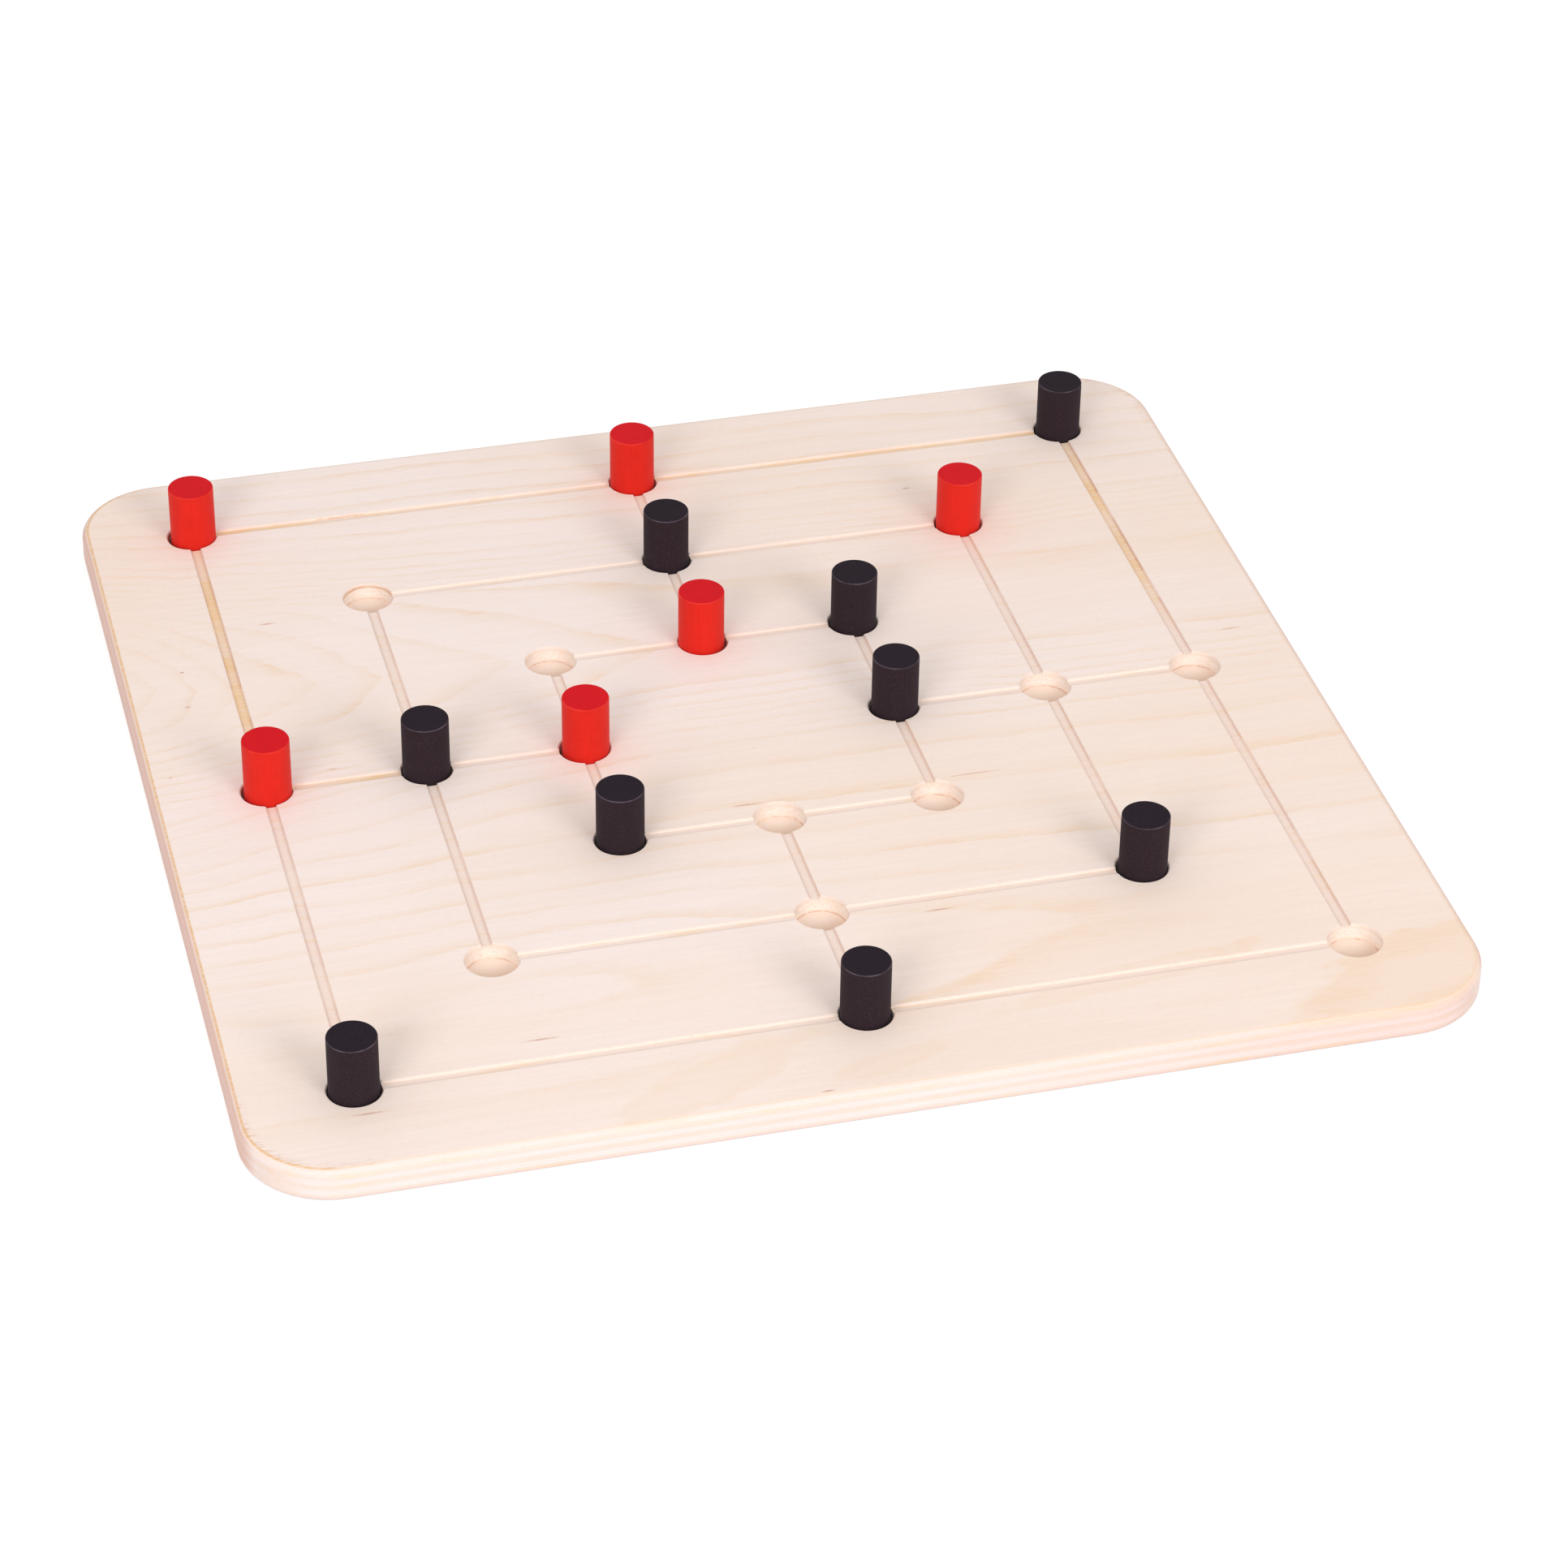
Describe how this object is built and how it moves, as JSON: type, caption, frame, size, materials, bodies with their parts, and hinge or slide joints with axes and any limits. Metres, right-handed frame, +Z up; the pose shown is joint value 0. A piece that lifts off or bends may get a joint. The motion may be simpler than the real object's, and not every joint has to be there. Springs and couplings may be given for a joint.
{
  "type": "nine men's morris board game",
  "caption": "Square laminated wooden board with rounded corners, a grooved mill pattern of blind holes, and round lift-out pegs in two colours.",
  "frame": {"origin": "centre of the board's underside", "axes": "+Z up out of the playing face, +X right along the front edge and along the face grain, +Y to the back edge"},
  "size_m": [0.3, 0.3, 0.0245],
  "materials": {
    "birch_long_grain": "sanded pale birch veneer, raw and matte",
    "birch_cross_grain": "raw pale birch veneer, laid crosswise, matte",
    "red_painted_wood": "satin red paint on turned hardwood",
    "black_painted_wood": "matte black paint on turned hardwood"
  },
  "bodies": {
    "board": {"face_veneer": "birch_long_grain", "upper_cross_veneer": "birch_cross_grain", "upper_long_veneer": "birch_long_grain", "middle_cross_veneer": "birch_cross_grain", "lower_long_veneer": "birch_long_grain", "lower_cross_veneer": "birch_cross_grain", "back_veneer": "birch_long_grain"},
    "red_peg_a7": {"red_peg_a7": "red_painted_wood"},
    "red_peg_d7": {"red_peg_d7": "red_painted_wood"},
    "red_peg_f6": {"red_peg_f6": "red_painted_wood"},
    "red_peg_d5": {"red_peg_d5": "red_painted_wood"},
    "red_peg_c4": {"red_peg_c4": "red_painted_wood"},
    "red_peg_a4": {"red_peg_a4": "red_painted_wood"},
    "black_peg_g7": {"black_peg_g7": "black_painted_wood"},
    "black_peg_d6": {"black_peg_d6": "black_painted_wood"},
    "black_peg_e5": {"black_peg_e5": "black_painted_wood"},
    "black_peg_e4": {"black_peg_e4": "black_painted_wood"},
    "black_peg_b4": {"black_peg_b4": "black_painted_wood"},
    "black_peg_c3": {"black_peg_c3": "black_painted_wood"},
    "black_peg_f2": {"black_peg_f2": "black_painted_wood"},
    "black_peg_d1": {"black_peg_d1": "black_painted_wood"},
    "black_peg_a1": {"black_peg_a1": "black_painted_wood"}
  },
  "joints": [
    {"name": "lift_red_a7", "type": "slide", "parent": "board", "child": "red_peg_a7", "axis": [0, 0, 1], "range_m": [0, 0.022]},
    {"name": "lift_red_d7", "type": "slide", "parent": "board", "child": "red_peg_d7", "axis": [0, 0, 1], "range_m": [0, 0.022]},
    {"name": "lift_red_f6", "type": "slide", "parent": "board", "child": "red_peg_f6", "axis": [0, 0, 1], "range_m": [0, 0.022]},
    {"name": "lift_red_d5", "type": "slide", "parent": "board", "child": "red_peg_d5", "axis": [0, 0, 1], "range_m": [0, 0.022]},
    {"name": "lift_red_c4", "type": "slide", "parent": "board", "child": "red_peg_c4", "axis": [0, 0, 1], "range_m": [0, 0.022]},
    {"name": "lift_red_a4", "type": "slide", "parent": "board", "child": "red_peg_a4", "axis": [0, 0, 1], "range_m": [0, 0.022]},
    {"name": "lift_black_g7", "type": "slide", "parent": "board", "child": "black_peg_g7", "axis": [0, 0, 1], "range_m": [0, 0.022]},
    {"name": "lift_black_d6", "type": "slide", "parent": "board", "child": "black_peg_d6", "axis": [0, 0, 1], "range_m": [0, 0.022]},
    {"name": "lift_black_e5", "type": "slide", "parent": "board", "child": "black_peg_e5", "axis": [0, 0, 1], "range_m": [0, 0.022]},
    {"name": "lift_black_e4", "type": "slide", "parent": "board", "child": "black_peg_e4", "axis": [0, 0, 1], "range_m": [0, 0.022]},
    {"name": "lift_black_b4", "type": "slide", "parent": "board", "child": "black_peg_b4", "axis": [0, 0, 1], "range_m": [0, 0.022]},
    {"name": "lift_black_c3", "type": "slide", "parent": "board", "child": "black_peg_c3", "axis": [0, 0, 1], "range_m": [0, 0.022]},
    {"name": "lift_black_f2", "type": "slide", "parent": "board", "child": "black_peg_f2", "axis": [0, 0, 1], "range_m": [0, 0.022]},
    {"name": "lift_black_d1", "type": "slide", "parent": "board", "child": "black_peg_d1", "axis": [0, 0, 1], "range_m": [0, 0.022]},
    {"name": "lift_black_a1", "type": "slide", "parent": "board", "child": "black_peg_a1", "axis": [0, 0, 1], "range_m": [0, 0.022]}
  ]
}
